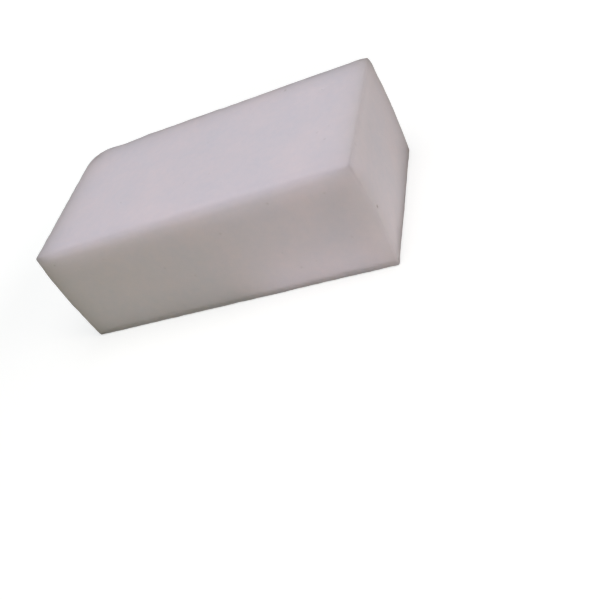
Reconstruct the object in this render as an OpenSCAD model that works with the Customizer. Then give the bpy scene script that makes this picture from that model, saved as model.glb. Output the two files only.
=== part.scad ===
// Cleaning sponge: one block of white foam, cut with a blade from a larger slab.
// It lies on one of its two largest faces. The origin is at the middle of the base,
// X runs along the length, Y from the front side to the back side, and Z is up.
// The block is a loft of level sections. Each section is a rectangle with round corners,
// whose size and corners change with its height: the rims of the base and of the top are
// round, the end faces swell, the left one leans in and spreads at its foot, the long sides
// are hollow, and one corner is worn blunt.

/* [Block] */
// Length of the base between the end faces, without the spread of the left one's foot
block_l = 117; // [80:1:160]
// Width between the long sides, measured at their upper and lower edges
block_w = 61; // [40:1:90]
// Height as it lies
block_h = 40; // [24:1:60]

/* [Cut faces] */
// How far the right end face swells at half height
right_swell = 0.8; // [0:0.1:3]
// How far the left end face swells at half height
left_swell = 1.8; // [0:0.1:3]
// How much further in the left end face stands at the top than at the base, apart from its foot
left_lean = 1; // [0:0.1:3]
// How far the left end face spreads at its foot
left_foot = 0.4; // [0:0.1:2]
// Distance above the base at which that foot has faded out
foot_reach = 14; // [4:1:20]
// How far each long side is hollow at half height
side_hollow = 0.4; // [0:0.1:1.5]

/* [Edges] */
// Radius round the rims of the top and the base
rim_r = 0.7; // [0.5:0.1:3]
// Radius in plan of the four upright edges
upright_r = 0.9; // [0.8:0.1:4]

/* [Wear] */
// Radius in plan of the blunted corner, at the top of the back left edge
blunt_r = 8; // [4:0.5:12]
// Distance below the top at which the blunted corner has faded out
blunt_reach = 18; // [6:1:24]

/* [Smoothness] */
// Sections across each rim
rim_steps = 7; // [3:1:10]
// Sections up the sides, between the rims
side_steps = 22; // [8:1:30]
// Steps round each upright edge
corner_steps = 15; // [4:1:20]

/* [Hidden] */

// Smallest radius that a corner of a section keeps, so that it never becomes a point
least_r = 0.2;
foam_colour = [0.82, 0.80, 0.82];

// Which way each corner of the plan lies, anticlockwise from the front right one
corner_signs = [[1, -1], [1, 1], [-1, 1], [-1, -1]];
points_per_section = 4 * (corner_steps + 1);

// Heights of the sections, close together on the rims, where the surface turns
rim_heights = [for (i = [0 : rim_steps]) rim_r * (1 - cos(90 * i / rim_steps))];
side_heights = [for (i = [1 : side_steps - 1]) rim_r + (block_h - 2 * rim_r) * i / side_steps];
top_heights = [for (i = [rim_steps : -1 : 0]) block_h - rim_heights[i]];
heights = concat(rim_heights, side_heights, top_heights);
last_section = len(heights) - 1;

// 1 at the start of a stretch, falling smoothly to 0 where it has faded out
function fade(distance, reach) = distance >= reach ? 0 : (1 + cos(180 * distance / reach)) / 2;

// 1 at half height and 0 at the base and the top
function belly(z) = 1 - pow(2 * z / block_h - 1, 2);

// How far the round rim pulls a section in, at a distance from the base or the top
function rim_inset(distance) = distance >= rim_r ? 0 : rim_r - sqrt(pow(rim_r, 2) - pow(rim_r - distance, 2));

function inset(z) = rim_inset(min(z, block_h - z));

// How far each end face and each long side is from the middle of the base
function right_end(z) = block_l / 2 + right_swell * belly(z) - inset(z);
function left_end(z) =
    let (swell = left_swell * belly(z),
         lean = left_lean * z / block_h,
         foot = left_foot * fade(z, foot_reach))
    block_l / 2 + swell - lean + foot - inset(z);
function half_width(z) = block_w / 2 - side_hollow * belly(z) - inset(z);

// Radius of each corner of a section before the rim pulls it in, in the order of corner_signs
function corner_radii(z) = [
    upright_r,
    upright_r,
    upright_r + (blunt_r - upright_r) * fade(block_h - z, blunt_reach),
    upright_r
];

// One section's outline, anticlockwise seen from above
function section(z) =
    let (radii = corner_radii(z))
    [for (c = [0 : 3])
        let (r = max(radii[c] - inset(z), least_r),
             reach = corner_signs[c][0] > 0 ? right_end(z) : left_end(z),
             centre_x = corner_signs[c][0] * (reach - r),
             centre_y = corner_signs[c][1] * (half_width(z) - r))
        for (i = [0 : corner_steps])
            let (a = 90 * (c - 1 + i / corner_steps))
            [centre_x + r * cos(a), centre_y + r * sin(a), z]];

// Number of a section's point, counted through all the sections
function point_number(level, i) = level * points_per_section + i % points_per_section;

// Two triangles for each step round the outline, between one section and the next
function band(level) =
    [for (i = [0 : points_per_section - 1])
        let (a = point_number(level, i),
             b = point_number(level, i + 1),
             c = point_number(level + 1, i),
             d = point_number(level + 1, i + 1))
        each [[a, c, b], [b, c, d]]];

module foam_block() {
    base_face = [for (i = [0 : points_per_section - 1]) point_number(0, i)];
    top_face = [for (i = [points_per_section - 1 : -1 : 0]) point_number(last_section, i)];
    side_faces = [for (level = [0 : last_section - 1]) each band(level)];
    color(foam_colour)
    polyhedron(points = [for (z = heights) each section(z)], faces = concat([base_face, top_face], side_faces));
}

foam_block();
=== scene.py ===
"""A cleaning sponge: one block of white melamine foam, cut with a blade from a larger slab.

The block's mesh starts as a fine grid on a plain box. Functions then move its points onto the real form:
round rims, swollen ends, hollow sides and a blunted corner, then the waves that the blade left, the ragged
rims, the pits and the worn places. All lengths are in metres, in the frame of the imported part.
"""
import math

import bmesh
import bpy
import numpy as np
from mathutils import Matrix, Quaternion, Vector, noise
from mathutils.kdtree import KDTree

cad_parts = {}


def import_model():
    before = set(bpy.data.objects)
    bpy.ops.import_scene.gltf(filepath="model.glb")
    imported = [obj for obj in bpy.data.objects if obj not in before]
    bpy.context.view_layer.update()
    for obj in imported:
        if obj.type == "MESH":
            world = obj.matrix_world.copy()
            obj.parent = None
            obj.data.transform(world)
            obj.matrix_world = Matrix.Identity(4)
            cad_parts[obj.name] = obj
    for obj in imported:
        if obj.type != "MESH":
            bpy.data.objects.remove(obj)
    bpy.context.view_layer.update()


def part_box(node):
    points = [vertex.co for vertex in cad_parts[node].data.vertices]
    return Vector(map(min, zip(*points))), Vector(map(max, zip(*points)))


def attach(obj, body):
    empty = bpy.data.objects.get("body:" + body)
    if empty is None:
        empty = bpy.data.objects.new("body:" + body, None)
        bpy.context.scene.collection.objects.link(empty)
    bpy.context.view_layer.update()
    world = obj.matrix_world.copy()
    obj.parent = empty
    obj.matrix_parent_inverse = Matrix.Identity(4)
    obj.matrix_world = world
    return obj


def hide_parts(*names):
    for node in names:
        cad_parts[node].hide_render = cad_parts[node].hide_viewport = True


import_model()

MM = 0.001
# Smallest length to divide by, where it could be 0
TINY = 1e-12
# Start of the random draws
SEED = 11

# Form of the block, with the same values as the part's source
BLOCK_L = 117 * MM
BLOCK_W = 61 * MM
BLOCK_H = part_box("foam_block")[1].z
RIGHT_SWELL = 0.8 * MM
LEFT_SWELL = 1.8 * MM
LEFT_LEAN = 1.0 * MM
LEFT_FOOT = 0.4 * MM
FOOT_REACH = 14 * MM
SIDE_HOLLOW = 0.4 * MM
RIM_R = 0.7 * MM
UPRIGHT_R = 0.9 * MM
BLUNT_R = 8 * MM
BLUNT_REACH = 18 * MM

# How much rounder the long rims are shaded than they are, because light spreads inside the foam, and the
# distance from the end faces over which that sets in
SHADE_SOFTENING = 2.0 * MM
SOFTENING_START = 8 * MM

# Mesh of the block
RIM_STEPS = 5
FACE_STEP = 0.8 * MM

# Waves and raggedness of the cut faces
WAVE_HEIGHT = 0.10 * MM
WAVE_LENGTH = 26 * MM
RIPPLE_HEIGHT = 0.035 * MM
RIPPLE_LENGTH = 5 * MM
GRAIN_HEIGHT = 0.02 * MM
GRAIN_LENGTH = 1.6 * MM
RAGGED_HEIGHT = 0.14 * MM
RAGGED_LENGTH = 3.2 * MM
RAGGED_REACH = 1.2 * MM
# How much further the ragged rims go in than out
RAGGED_LOSS = 0.3
# How far apart the places lie at which the different waves read one noise
NOISE_SHIFT = 17.3
# Points whose normal goes down more steeply than this lie on the base
BASE_NORMAL = -0.999

# Pits seen in the photograph: place on the block, radius and depth, all in millimetres, and darkness, which
# is painted shade in the pit
SEEN_PITS = [
    ((59.3, -27.2, 21.6), 0.8, 0.25, 1.1),
    ((30.0, -30.3, 35.2), 0.8, 0.12, 0.22),
    ((10.1, -30.2, 29.3), 0.8, 0.12, 0.22),
    ((47.7, -30.3, 33.2), 0.7, 0.10, 0.20),
    ((28.4, -30.2, 8.5), 0.7, 0.10, 0.20),
    ((-7.6, -30.1, 15.8), 0.7, 0.10, 0.15),
    ((-15.8, -30.1, 22.1), 0.7, 0.10, 0.15),
    ((28.1, 26.5, 40.0), 0.8, 0.15, 0.35),
    ((48.4, -12.6, 40.0), 0.8, 0.10, 0.20),
    ((45.2, -7.5, 40.0), 0.7, 0.10, 0.15),
]
# Worn places at the back of the top, in the same way: its right corner, and the edge by the blunted corner
WORN_PLACES = [
    ((58.4, 30.4, 39.9), 2.8, 0.40, 0.0),
    ((-41.0, 30.2, 39.9), 10.0, 0.28, 0.0),
]
# Loose pits: how many, and the range of their radius in millimetres, depth per radius, and darkness, which is
# painted shade in the pit
LOOSE_PITS = 60
LOOSE_RADIUS = (0.4, 0.8)
LOOSE_DEPTH = (0.15, 0.4)
LOOSE_DARKNESS = (0.05, 0.25)
# How near a pit's middle the mesh is made finer, and how many cuts each edge gets there
PIT_SPLIT_REACH = 1.3 * MM
PIT_CUTS = 3

# How much greyer the foam is painted along its rims, as painted shade, and how far in that reaches
LEFT_SHADE = 0.62
RIGHT_SHADE = 0.48
BACK_SHADE = 0.5
FRONT_SHADE = 0.15
SHADE_REACH = 4.5 * MM
# How much of that painted shade is left off on the edge between the front and the right end, and how mauve
# the edge between the front and the top is painted, as a painted tint of the shading there
LESS_SHADE_EDGE = 0.35
MAUVE_EDGE = 0.16

# The camera, fitted to the edges of the block in the photograph
CAMERA_PLACE = Vector((126.17, -206.50, 152.25)) * MM
CAMERA_AIM = Vector((12.68, -15.50, -18.04)) * MM
CAMERA_ROLL = math.radians(-32.77)
CAMERA_LENS = 46.68
SENSOR_WIDTH = 36
CLIP_START = 10 * MM


def fade(distance, reach):
    """1 where a stretch starts, falling smoothly to 0 where it has faded out."""
    return (1 + np.cos(np.pi * np.clip(distance / reach, 0, 1))) / 2


def stops(length):
    """Places of the grid's lines along one side of the box, close together on the rims."""
    rim = np.linspace(0, RIM_R, RIM_STEPS + 1)[:-1]
    inner = np.linspace(RIM_R, length - RIM_R, round((length - 2 * RIM_R) / FACE_STEP) + 1)
    return np.concatenate([rim, inner, length - rim[::-1]])


def box_grid():
    """Points and four-sided faces of a fine grid on a plain box that stands on the origin."""
    lines = [stops(BLOCK_L), stops(BLOCK_W), stops(BLOCK_H)]
    counts = [len(line) for line in lines]
    corners = []
    for axis in range(3):
        across, along = (axis + 1) % 3, (axis + 2) % 3
        a, b = np.meshgrid(np.arange(counts[across] - 1), np.arange(counts[along] - 1), indexing="ij")
        a, b = a.ravel(), b.ravel()
        for side in (0, counts[axis] - 1):
            loop = [(a, b), (a + 1, b), (a + 1, b + 1), (a, b + 1)]
            if side == 0:
                loop = loop[::-1]
            quads = np.empty((len(a), 4, 3), int)
            for i, (u, v) in enumerate(loop):
                quads[:, i, axis] = side
                quads[:, i, across] = u
                quads[:, i, along] = v
            corners.append(quads)
    corners = np.concatenate(corners)
    used, faces = np.unique(corners.reshape(-1, 3), axis=0, return_inverse=True)
    points = np.stack([lines[axis][used[:, axis]] for axis in range(3)], axis=1)
    points -= (BLOCK_L / 2, BLOCK_W / 2, 0)
    return points, faces.reshape(-1, 4)


def formed(points, softening=0):
    """Moves the points of the plain box onto the block's form, with its edges rounder by the softening."""
    rim_r = RIM_R + softening
    upright_r = UPRIGHT_R + softening
    x, y, z = points.T
    in_plan = np.minimum(BLOCK_L / 2 - abs(x), BLOCK_W / 2 - abs(y))
    in_height = np.minimum(z, BLOCK_H - z)

    # Turn the points near a rim round it: inset is how far in from the side, depth how far from top or base
    level = np.clip(rim_r - in_plan, 0, None)
    upright = np.clip(rim_r - in_height, 0, None)
    turn = np.maximum(np.hypot(level, upright), TINY)
    pull = np.maximum(level, upright) / turn
    inset = np.where(in_plan < rim_r, rim_r - level * pull, in_plan)
    depth = np.where(in_height < rim_r, rim_r - upright * pull, in_height)
    z = np.where(z > BLOCK_H / 2, BLOCK_H - depth, depth)

    # Size of the section at each point's height
    belly = 1 - (2 * z / BLOCK_H - 1) ** 2
    left = LEFT_SWELL * belly - LEFT_LEAN * z / BLOCK_H + LEFT_FOOT * fade(z, FOOT_REACH)
    end = np.where(x > 0, RIGHT_SWELL * belly, left)
    half_x = BLOCK_L / 2 + end - inset
    half_y = BLOCK_W / 2 - SIDE_HOLLOW * belly - inset
    x = x * half_x / np.maximum(BLOCK_L / 2 - in_plan, TINY)
    y = y * half_y / np.maximum(BLOCK_W / 2 - in_plan, TINY)

    # Round its corners, one of which is worn blunt
    blunt = (BLUNT_R - UPRIGHT_R) * fade(BLOCK_H - z, BLUNT_REACH) * ((x < 0) & (y > 0))
    radius = np.maximum(upright_r + blunt - inset, 0)
    past_x = abs(x) - (half_x - radius)
    past_y = abs(y) - (half_y - radius)
    in_corner = (past_x > 0) & (past_y > 0)
    pull = np.maximum(past_x, past_y) / np.maximum(np.hypot(past_x, past_y), TINY)
    x = np.where(in_corner, np.sign(x) * (half_x - radius + past_x * pull), x)
    y = np.where(in_corner, np.sign(y) * (half_y - radius + past_y * pull), y)
    return np.stack([x, y, z], axis=1)


def rim_distances(points):
    """How far each point on the plain box is from the rims of its ends, and from its four long edges."""
    x, y, z = points.T
    from_end = BLOCK_L / 2 - abs(x)
    from_side = BLOCK_W / 2 - abs(y)
    from_level = np.minimum(z, BLOCK_H - z)
    return np.maximum(from_end, np.minimum(from_side, from_level)), np.maximum(from_side, from_level)


def near_edge(from_first, from_second):
    """1 on the edge between two faces, falling off with the distances from them."""
    return np.exp(-np.maximum(from_first, from_second) / SHADE_REACH)


def painted_rim_shade(points):
    """How much painted shade each point of the plain box gets along the rims, without the pits."""
    from_end_rim, from_long_rim = rim_distances(points)
    painted_shade = np.where(points[:, 0] > 0, RIGHT_SHADE, LEFT_SHADE) * np.exp(-from_end_rim / SHADE_REACH)
    painted_shade += np.where(points[:, 1] > 0, BACK_SHADE, FRONT_SHADE) * np.exp(-from_long_rim / SHADE_REACH)
    return painted_shade * (1 - LESS_SHADE_EDGE * near_edge(BLOCK_L / 2 - points[:, 0], BLOCK_W / 2 + points[:, 1]))


def painted_edge_tint(points):
    """How much of the painted mauve tint of the shading each point of the plain box gets, along the edge
    between the front and the top.
    """
    return MAUVE_EDGE * near_edge(BLOCK_H - points[:, 2], BLOCK_W / 2 + points[:, 1])


def wave(points, length, seed):
    """Smooth noise from about -1 to 1, with bumps of about the given length."""
    places = points / length + seed * NOISE_SHIFT
    return np.array([noise.noise(Vector(p), noise_basis="PERLIN_ORIGINAL") for p in places])


def relief(points, from_rim):
    """How far the marks of the blade and the ragged rims move each point outwards."""
    out = WAVE_HEIGHT * wave(points, WAVE_LENGTH, 1)
    out += RIPPLE_HEIGHT * wave(points, RIPPLE_LENGTH, 2)
    out += GRAIN_HEIGHT * wave(points, GRAIN_LENGTH, 3)
    ragged = wave(points, RAGGED_LENGTH, 4) - RAGGED_LOSS
    return out + RAGGED_HEIGHT * np.exp(-from_rim / RAGGED_REACH) * ragged


def bowl(points, place, radius):
    """1 at the middle of a pit, falling smoothly to 0 at its radius."""
    share = np.clip(1 - np.linalg.norm(points - place, axis=1) / radius, 0, 1)
    return share * share * (3 - 2 * share)


def hollows(points):
    """Place, radius, depth and darkness, a painted shade in the hollow, of every worn place and pit, the seen
    ones first.
    """
    rng = np.random.default_rng(SEED)
    found = [
        (np.array(place) * MM, radius * MM, depth * MM, dark)
        for place, radius, depth, dark in WORN_PLACES + SEEN_PITS
    ]
    for i in rng.choice(len(points), LOOSE_PITS, replace=False):
        radius = rng.uniform(*LOOSE_RADIUS) * MM
        depth = radius * rng.uniform(*LOOSE_DEPTH)
        found.append((points[i], radius, depth, rng.uniform(*LOOSE_DARKNESS)))
    return found


def split_near(mesh, places):
    """Splits the faces round each pit, so that its small hollow has enough points."""
    body = bmesh.new()
    body.from_mesh(mesh)
    near = KDTree(len(places))
    for i, place in enumerate(places):
        near.insert(place, i)
    near.balance()
    middles = formed(np.array([face.calc_center_median() for face in body.faces]))
    edges = {
        edge
        for face, middle in zip(body.faces, middles)
        if near.find(middle)[2] < PIT_SPLIT_REACH
        for edge in face.edges
    }
    bmesh.ops.subdivide_edges(body, edges=list(edges), cuts=PIT_CUTS, use_grid_fill=True)
    body.to_mesh(mesh)
    body.free()


def read(items, name):
    """A vector property of all the mesh's items, as rows of three."""
    values = np.empty(len(items) * 3, np.float32)
    items.foreach_get(name, values)
    return values.reshape(-1, 3).astype(float)


def normals_at(mesh, points):
    """Moves the mesh's points, and gives the normal at each."""
    mesh.vertices.foreach_set("co", points.ravel())
    mesh.update()
    return read(mesh.vertex_normals, "vector")


def foam_mesh():
    """The block's mesh, with the marks of cutting and use on its surface."""
    grid, faces = box_grid()
    found = hollows(formed(grid))
    mesh = bpy.data.meshes.new("foam_surface")
    mesh.from_pydata(grid.tolist(), [], faces.tolist())
    split_near(mesh, [place for place, *rest in found])

    plain = read(mesh.vertices, "co")
    points = formed(plain)
    soft_normals = normals_at(mesh, formed(plain, SHADE_SOFTENING))
    normals = normals_at(mesh, points)

    # The base rests on the table, so it has no waves, and nothing goes below it
    out = relief(points, np.minimum(*rim_distances(plain))) * np.where(normals[:, 2] < BASE_NORMAL, 0, 1)
    # Painted shade on the rims and, below, in the pits, which the material mixes towards a grey
    painted_shade = painted_rim_shade(plain)
    # Each pit is dug in, and its darkness is added as painted shade
    for place, radius, depth, dark in found:
        share = bowl(points, place, radius)
        out -= depth * share
        painted_shade += dark * share
    points += normals * out[:, None]
    points[:, 2] = np.maximum(points[:, 2], 0)

    softened = np.clip((BLOCK_L / 2 - abs(plain[:, 0])) / SOFTENING_START, 0, 1)[:, None]
    shaded = softened * (soft_normals - normals) + normals_at(mesh, points)
    shaded /= np.linalg.norm(shaded, axis=1, keepdims=True)
    for name, shares in (("painted_shade", painted_shade), ("mauve", painted_edge_tint(plain))):
        mesh.attributes.new(name, "FLOAT", "POINT").data.foreach_set("value", np.clip(shares, 0, 1))
    mesh.validate()
    mesh.shade_smooth()
    mesh.normals_split_custom_set_from_vertices(shaded.tolist())
    mesh.update()
    return mesh


class Tree:
    """A short way to add and link the nodes of one material or world."""

    def __init__(self, owner):
        owner.use_nodes = True
        self.owner = owner
        self.nodes = owner.node_tree.nodes
        self.links = owner.node_tree.links
        self.nodes.clear()

    def add(self, kind, **inputs):
        """A new node of a kind, with its inputs set or linked."""
        node = self.nodes.new(kind)
        for name, value in inputs.items():
            self.set(node, name.replace("_", " "), value)
        return node

    def set(self, node, name, value):
        """Links a socket to a node's input, or writes a plain value there."""
        socket = node.inputs[name]
        if isinstance(value, bpy.types.NodeSocket):
            self.links.new(value, socket)
        else:
            socket.default_value = value

    def mixed(self, share, first, second):
        """A colour between first, at a share of 0, and second, at 1."""
        node = self.nodes.new("ShaderNodeMix")
        node.data_type = "RGBA"
        # This node's sockets go by number, because those for numbers, vectors and colours share their names
        for name, value in ((0, share), (6, first), (7, second)):
            self.set(node, name, value)
        return node.outputs[2]

    def attribute(self, name):
        """The number that the mesh holds under a name."""
        node = self.nodes.new("ShaderNodeAttribute")
        node.attribute_name = name
        return node.outputs["Fac"]

    def sum_of(self, first, second, weight):
        """The number first + weight * second."""
        node = self.nodes.new("ShaderNodeMath")
        node.operation = "MULTIPLY_ADD"
        for name, value in ((0, second), (1, weight), (2, first)):
            self.set(node, name, value)
        return node.outputs[0]


def srgb(red, green, blue):
    """Linear colour, with alpha, of an sRGB one given from 0 to 255."""
    return tuple(((c / 255 + 0.055) / 1.055) ** 2.4 for c in (red, green, blue)) + (1,)


FOAM_PINK = srgb(217, 208, 213)
FOAM_BLUE = srgb(206, 203, 211)
PORE_SHADE = srgb(196, 188, 194)
# Grey of the painted shade on the rims and in the pits
SHADE_GREY = srgb(150, 143, 139)
# Mauve of the painted tint of the shading along the edge between the front and the top
SHADE_MAUVE = srgb(212, 197, 232)
SCATTER_RADIUS = (1.0, 0.92, 0.88)
SCATTER_SCALE = 13 * MM
SPECULAR = 0.2
ROUGHNESS = (0.88, 1.0)

# Mottle of the foam's colour: how fine its two patterns are, the share of the finer one, and the range used
MOTTLE_PER_M = 45
BLOTCH_PER_M = 420
BLOTCH_SHARE = 0.4
TONE_RANGE = (0.45, 0.95)
# Pores, darkened towards the middle of each as painted shade in the open cells: how fine they are, how far
# from its middle each is darker, as a share of its cell, and by how much
PORES_PER_M = 2600
PORE_REACH = 0.35
PORE_DARKNESS = 0.35
# Fuzz: how fine it is and its share in the bump, which shows the pores too
FUZZ_PER_M = 5200
FUZZ_SHARE = 0.5
BUMP_STRENGTH = 0.25
BUMP_DEPTH = 0.06 * MM


def foam_material():
    """White melamine foam: very matt, light passes a little way into it, with fine open pores."""
    tree = Tree(bpy.data.materials.new("melamine_foam"))
    place = tree.add("ShaderNodeTexCoord").outputs["Object"]

    mottle = tree.add("ShaderNodeTexNoise", Vector=place, Scale=MOTTLE_PER_M, Detail=3.0, Roughness=0.55)
    blotch = tree.add("ShaderNodeTexNoise", Vector=place, Scale=BLOTCH_PER_M, Detail=2.0, Roughness=0.5)
    pores = tree.add("ShaderNodeTexVoronoi", Vector=place, Scale=PORES_PER_M, Randomness=1.0)
    fuzz = tree.add("ShaderNodeTexNoise", Vector=place, Scale=FUZZ_PER_M, Detail=2.0, Roughness=0.6)

    both = tree.sum_of(mottle.outputs["Fac"], blotch.outputs["Fac"], BLOTCH_SHARE)
    spread = tree.add("ShaderNodeMapRange", Value=both, From_Min=TONE_RANGE[0], From_Max=TONE_RANGE[1])
    tone = tree.mixed(spread.outputs["Result"], FOAM_BLUE, FOAM_PINK)
    # Painted shade in the pores
    deep = tree.add("ShaderNodeMapRange", Value=pores.outputs["Distance"], From_Min=0.0, From_Max=PORE_REACH,
                    To_Min=PORE_DARKNESS, To_Max=0.0)
    porous = tree.mixed(deep.outputs["Result"], tone, PORE_SHADE)
    # Painted tint of the shading along the edge between the front and the top
    flushed = tree.mixed(tree.attribute("mauve"), porous, SHADE_MAUVE)
    # Painted shade on the rims and in the pits
    colour = tree.mixed(tree.attribute("painted_shade"), flushed, SHADE_GREY)

    height = tree.sum_of(pores.outputs["Distance"], fuzz.outputs["Fac"], FUZZ_SHARE)
    bump = tree.add("ShaderNodeBump", Height=height, Strength=BUMP_STRENGTH, Distance=BUMP_DEPTH)
    rough = tree.add("ShaderNodeMapRange", Value=fuzz.outputs["Fac"], To_Min=ROUGHNESS[0],
                     To_Max=ROUGHNESS[1])

    shader = tree.add("ShaderNodeBsdfPrincipled")
    shader.subsurface_method = "BURLEY"
    tree.set(shader, "Base Color", colour)
    tree.set(shader, "Roughness", rough.outputs["Result"])
    tree.set(shader, "Normal", bump.outputs["Normal"])
    tree.set(shader, "Specular IOR Level", SPECULAR)
    tree.set(shader, "Subsurface Weight", 1.0)
    tree.set(shader, "Subsurface Radius", SCATTER_RADIUS)
    tree.set(shader, "Subsurface Scale", SCATTER_SCALE)
    tree.add("ShaderNodeOutputMaterial", Surface=shader.outputs["BSDF"])
    return tree.owner


def foam_block():
    """The sponge itself, in place of the plain solid."""
    block = bpy.data.objects.new("foam_surface", foam_mesh())
    bpy.context.scene.collection.objects.link(block)
    block.data.materials.append(foam_material())
    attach(block, "root")
    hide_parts("foam_block")
    return block


FLOOR_SIZE = 6.0
FLOOR_COLOUR = (0.55, 0.54, 0.50, 1)

# Glow that the floor adds for the camera: its colour, its strength near the block and far off, and between
# which distances from the block's middle it goes from the one to the other
GLOW_COLOUR = (0.94, 0.97, 1.0, 1)
NEAR_GLOW = 0.61
FAR_GLOW = 1.1
GLOW_REACH = (0.12, 0.5)

WORLD_COLOUR = (1.0, 1.0, 1.0, 1)
WORLD_STRENGTH = 0.22


def seen(tree):
    """1 or more for rays that show the camera the background, straight, by gloss or through glass, else 0."""
    ray = tree.nodes.new("ShaderNodeLightPath").outputs
    straight_or_gloss = tree.sum_of(ray["Is Camera Ray"], ray["Is Glossy Ray"], 1)
    return tree.sum_of(straight_or_gloss, ray["Is Transmission Ray"], 1)


def floor():
    """A plain pale floor. To the camera it shows white, and round the block it keeps the soft shadow."""
    tree = Tree(bpy.data.materials.new("pale_floor"))
    matt = tree.add("ShaderNodeBsdfDiffuse", Color=FLOOR_COLOUR)
    away = tree.add("ShaderNodeVectorMath")
    away.operation = "LENGTH"
    tree.set(away, 0, tree.add("ShaderNodeTexCoord").outputs["Object"])
    lift = tree.add("ShaderNodeMapRange", Value=away.outputs["Value"], From_Min=GLOW_REACH[0],
                    From_Max=GLOW_REACH[1], To_Min=NEAR_GLOW, To_Max=FAR_GLOW)
    strength = tree.sum_of(0, seen(tree), lift.outputs["Result"])
    glow = tree.add("ShaderNodeEmission", Color=GLOW_COLOUR, Strength=strength)
    both = tree.add("ShaderNodeAddShader")
    tree.set(both, 0, matt.outputs[0])
    tree.set(both, 1, glow.outputs[0])
    tree.add("ShaderNodeOutputMaterial", Surface=both.outputs[0])

    half = FLOOR_SIZE / 2
    corners = [(-half, -half, 0), (half, -half, 0), (half, half, 0), (-half, half, 0)]
    mesh = bpy.data.meshes.new("floor")
    mesh.from_pydata(corners, [], [(0, 1, 2, 3)])
    plane = bpy.data.objects.new("floor", mesh)
    bpy.context.scene.collection.objects.link(plane)
    mesh.materials.append(tree.owner)
    return plane


def world():
    """Even light from all round, which shows white behind the floor."""
    scene_world = bpy.data.worlds.new("studio")
    bpy.context.scene.world = scene_world
    tree = Tree(scene_world)
    strength = tree.sum_of(WORLD_STRENGTH, seen(tree), 1 - WORLD_STRENGTH)
    light = tree.add("ShaderNodeBackground", Color=WORLD_COLOUR, Strength=strength)
    tree.add("ShaderNodeOutputWorld", Surface=light.outputs[0])


BLOCK_MIDDLE = (0, 0, BLOCK_H / 2)
# Lamps: name, place, the place it faces, its two sides, power in watts and colour
LAMPS = [
    ("overhead", (0.05, -0.05, 0.60), BLOCK_MIDDLE, (0.6, 0.6), 2.46, (0.964, 0.945, 1.0)),
    ("right", (0.90, -0.10, 0.35), BLOCK_MIDDLE, (0.6, 0.6), 2.99, (1.0, 0.922, 0.834)),
    ("front", (-0.45, -0.60, 0.06), BLOCK_MIDDLE, (0.3, 0.3), 0.47, (0.84, 1.0, 0.0)),
    ("foot", (0.055, -0.11, 0.015), (0.03, -0.03, 0.015), (0.05, 0.05), 0.0072, (1.0, 0.8, 0.93)),
]
# Cards, which are small lamps just above the floor that face up, like pale card that throws light back at the
# foot of the front side and of the right end: name, x and y, then as for the lamps
CARDS = [
    ("front_card", 0.037, -0.047, (0.044, 0.028), 0.0012, (0.87, 0.79, 1.0)),
    ("contact_card", 0.033, -0.0345, (0.048, 0.006), 0.0004, (1.0, 0.88, 0.95)),
    ("right_card", 0.077, -0.020, (0.030, 0.050), 0.0017, (0.89, 0.96, 1.0)),
]
CARD_HEIGHT = 1 * MM


def lamp(name, place, aim, sizes, power, colour):
    """A rectangular area lamp at place, facing aim, which the camera doesn't see."""
    light = bpy.data.lights.new(name, "AREA")
    light.shape = "RECTANGLE"
    light.size, light.size_y = sizes
    light.energy = power
    light.color = colour
    holder = bpy.data.objects.new(name, light)
    holder.location = place
    holder.rotation_mode = "QUATERNION"
    holder.rotation_quaternion = (Vector(aim) - Vector(place)).to_track_quat("-Z", "Y")
    holder.visible_camera = False
    bpy.context.scene.collection.objects.link(holder)
    return holder


def lamps():
    """The lamps and the cards."""
    for values in LAMPS:
        lamp(*values)
    for name, x, y, sizes, power, colour in CARDS:
        lamp(name, (x, y, CARD_HEIGHT), (x, y, 1), sizes, power, colour)


def camera():
    """The camera, where the photograph was taken from."""
    data = bpy.data.cameras.new("camera")
    data.sensor_width = SENSOR_WIDTH
    data.lens = CAMERA_LENS
    data.clip_start = CLIP_START
    holder = bpy.data.objects.new("camera", data)
    holder.location = CAMERA_PLACE
    holder.rotation_mode = "QUATERNION"
    level = (CAMERA_AIM - CAMERA_PLACE).to_track_quat("-Z", "Y")
    holder.rotation_quaternion = level @ Quaternion((0, 0, 1), CAMERA_ROLL)
    bpy.context.scene.collection.objects.link(holder)
    bpy.context.scene.camera = holder
    return holder


camera()
foam_block()
floor()
world()
lamps()
bpy.context.scene.view_settings.view_transform = "Standard"
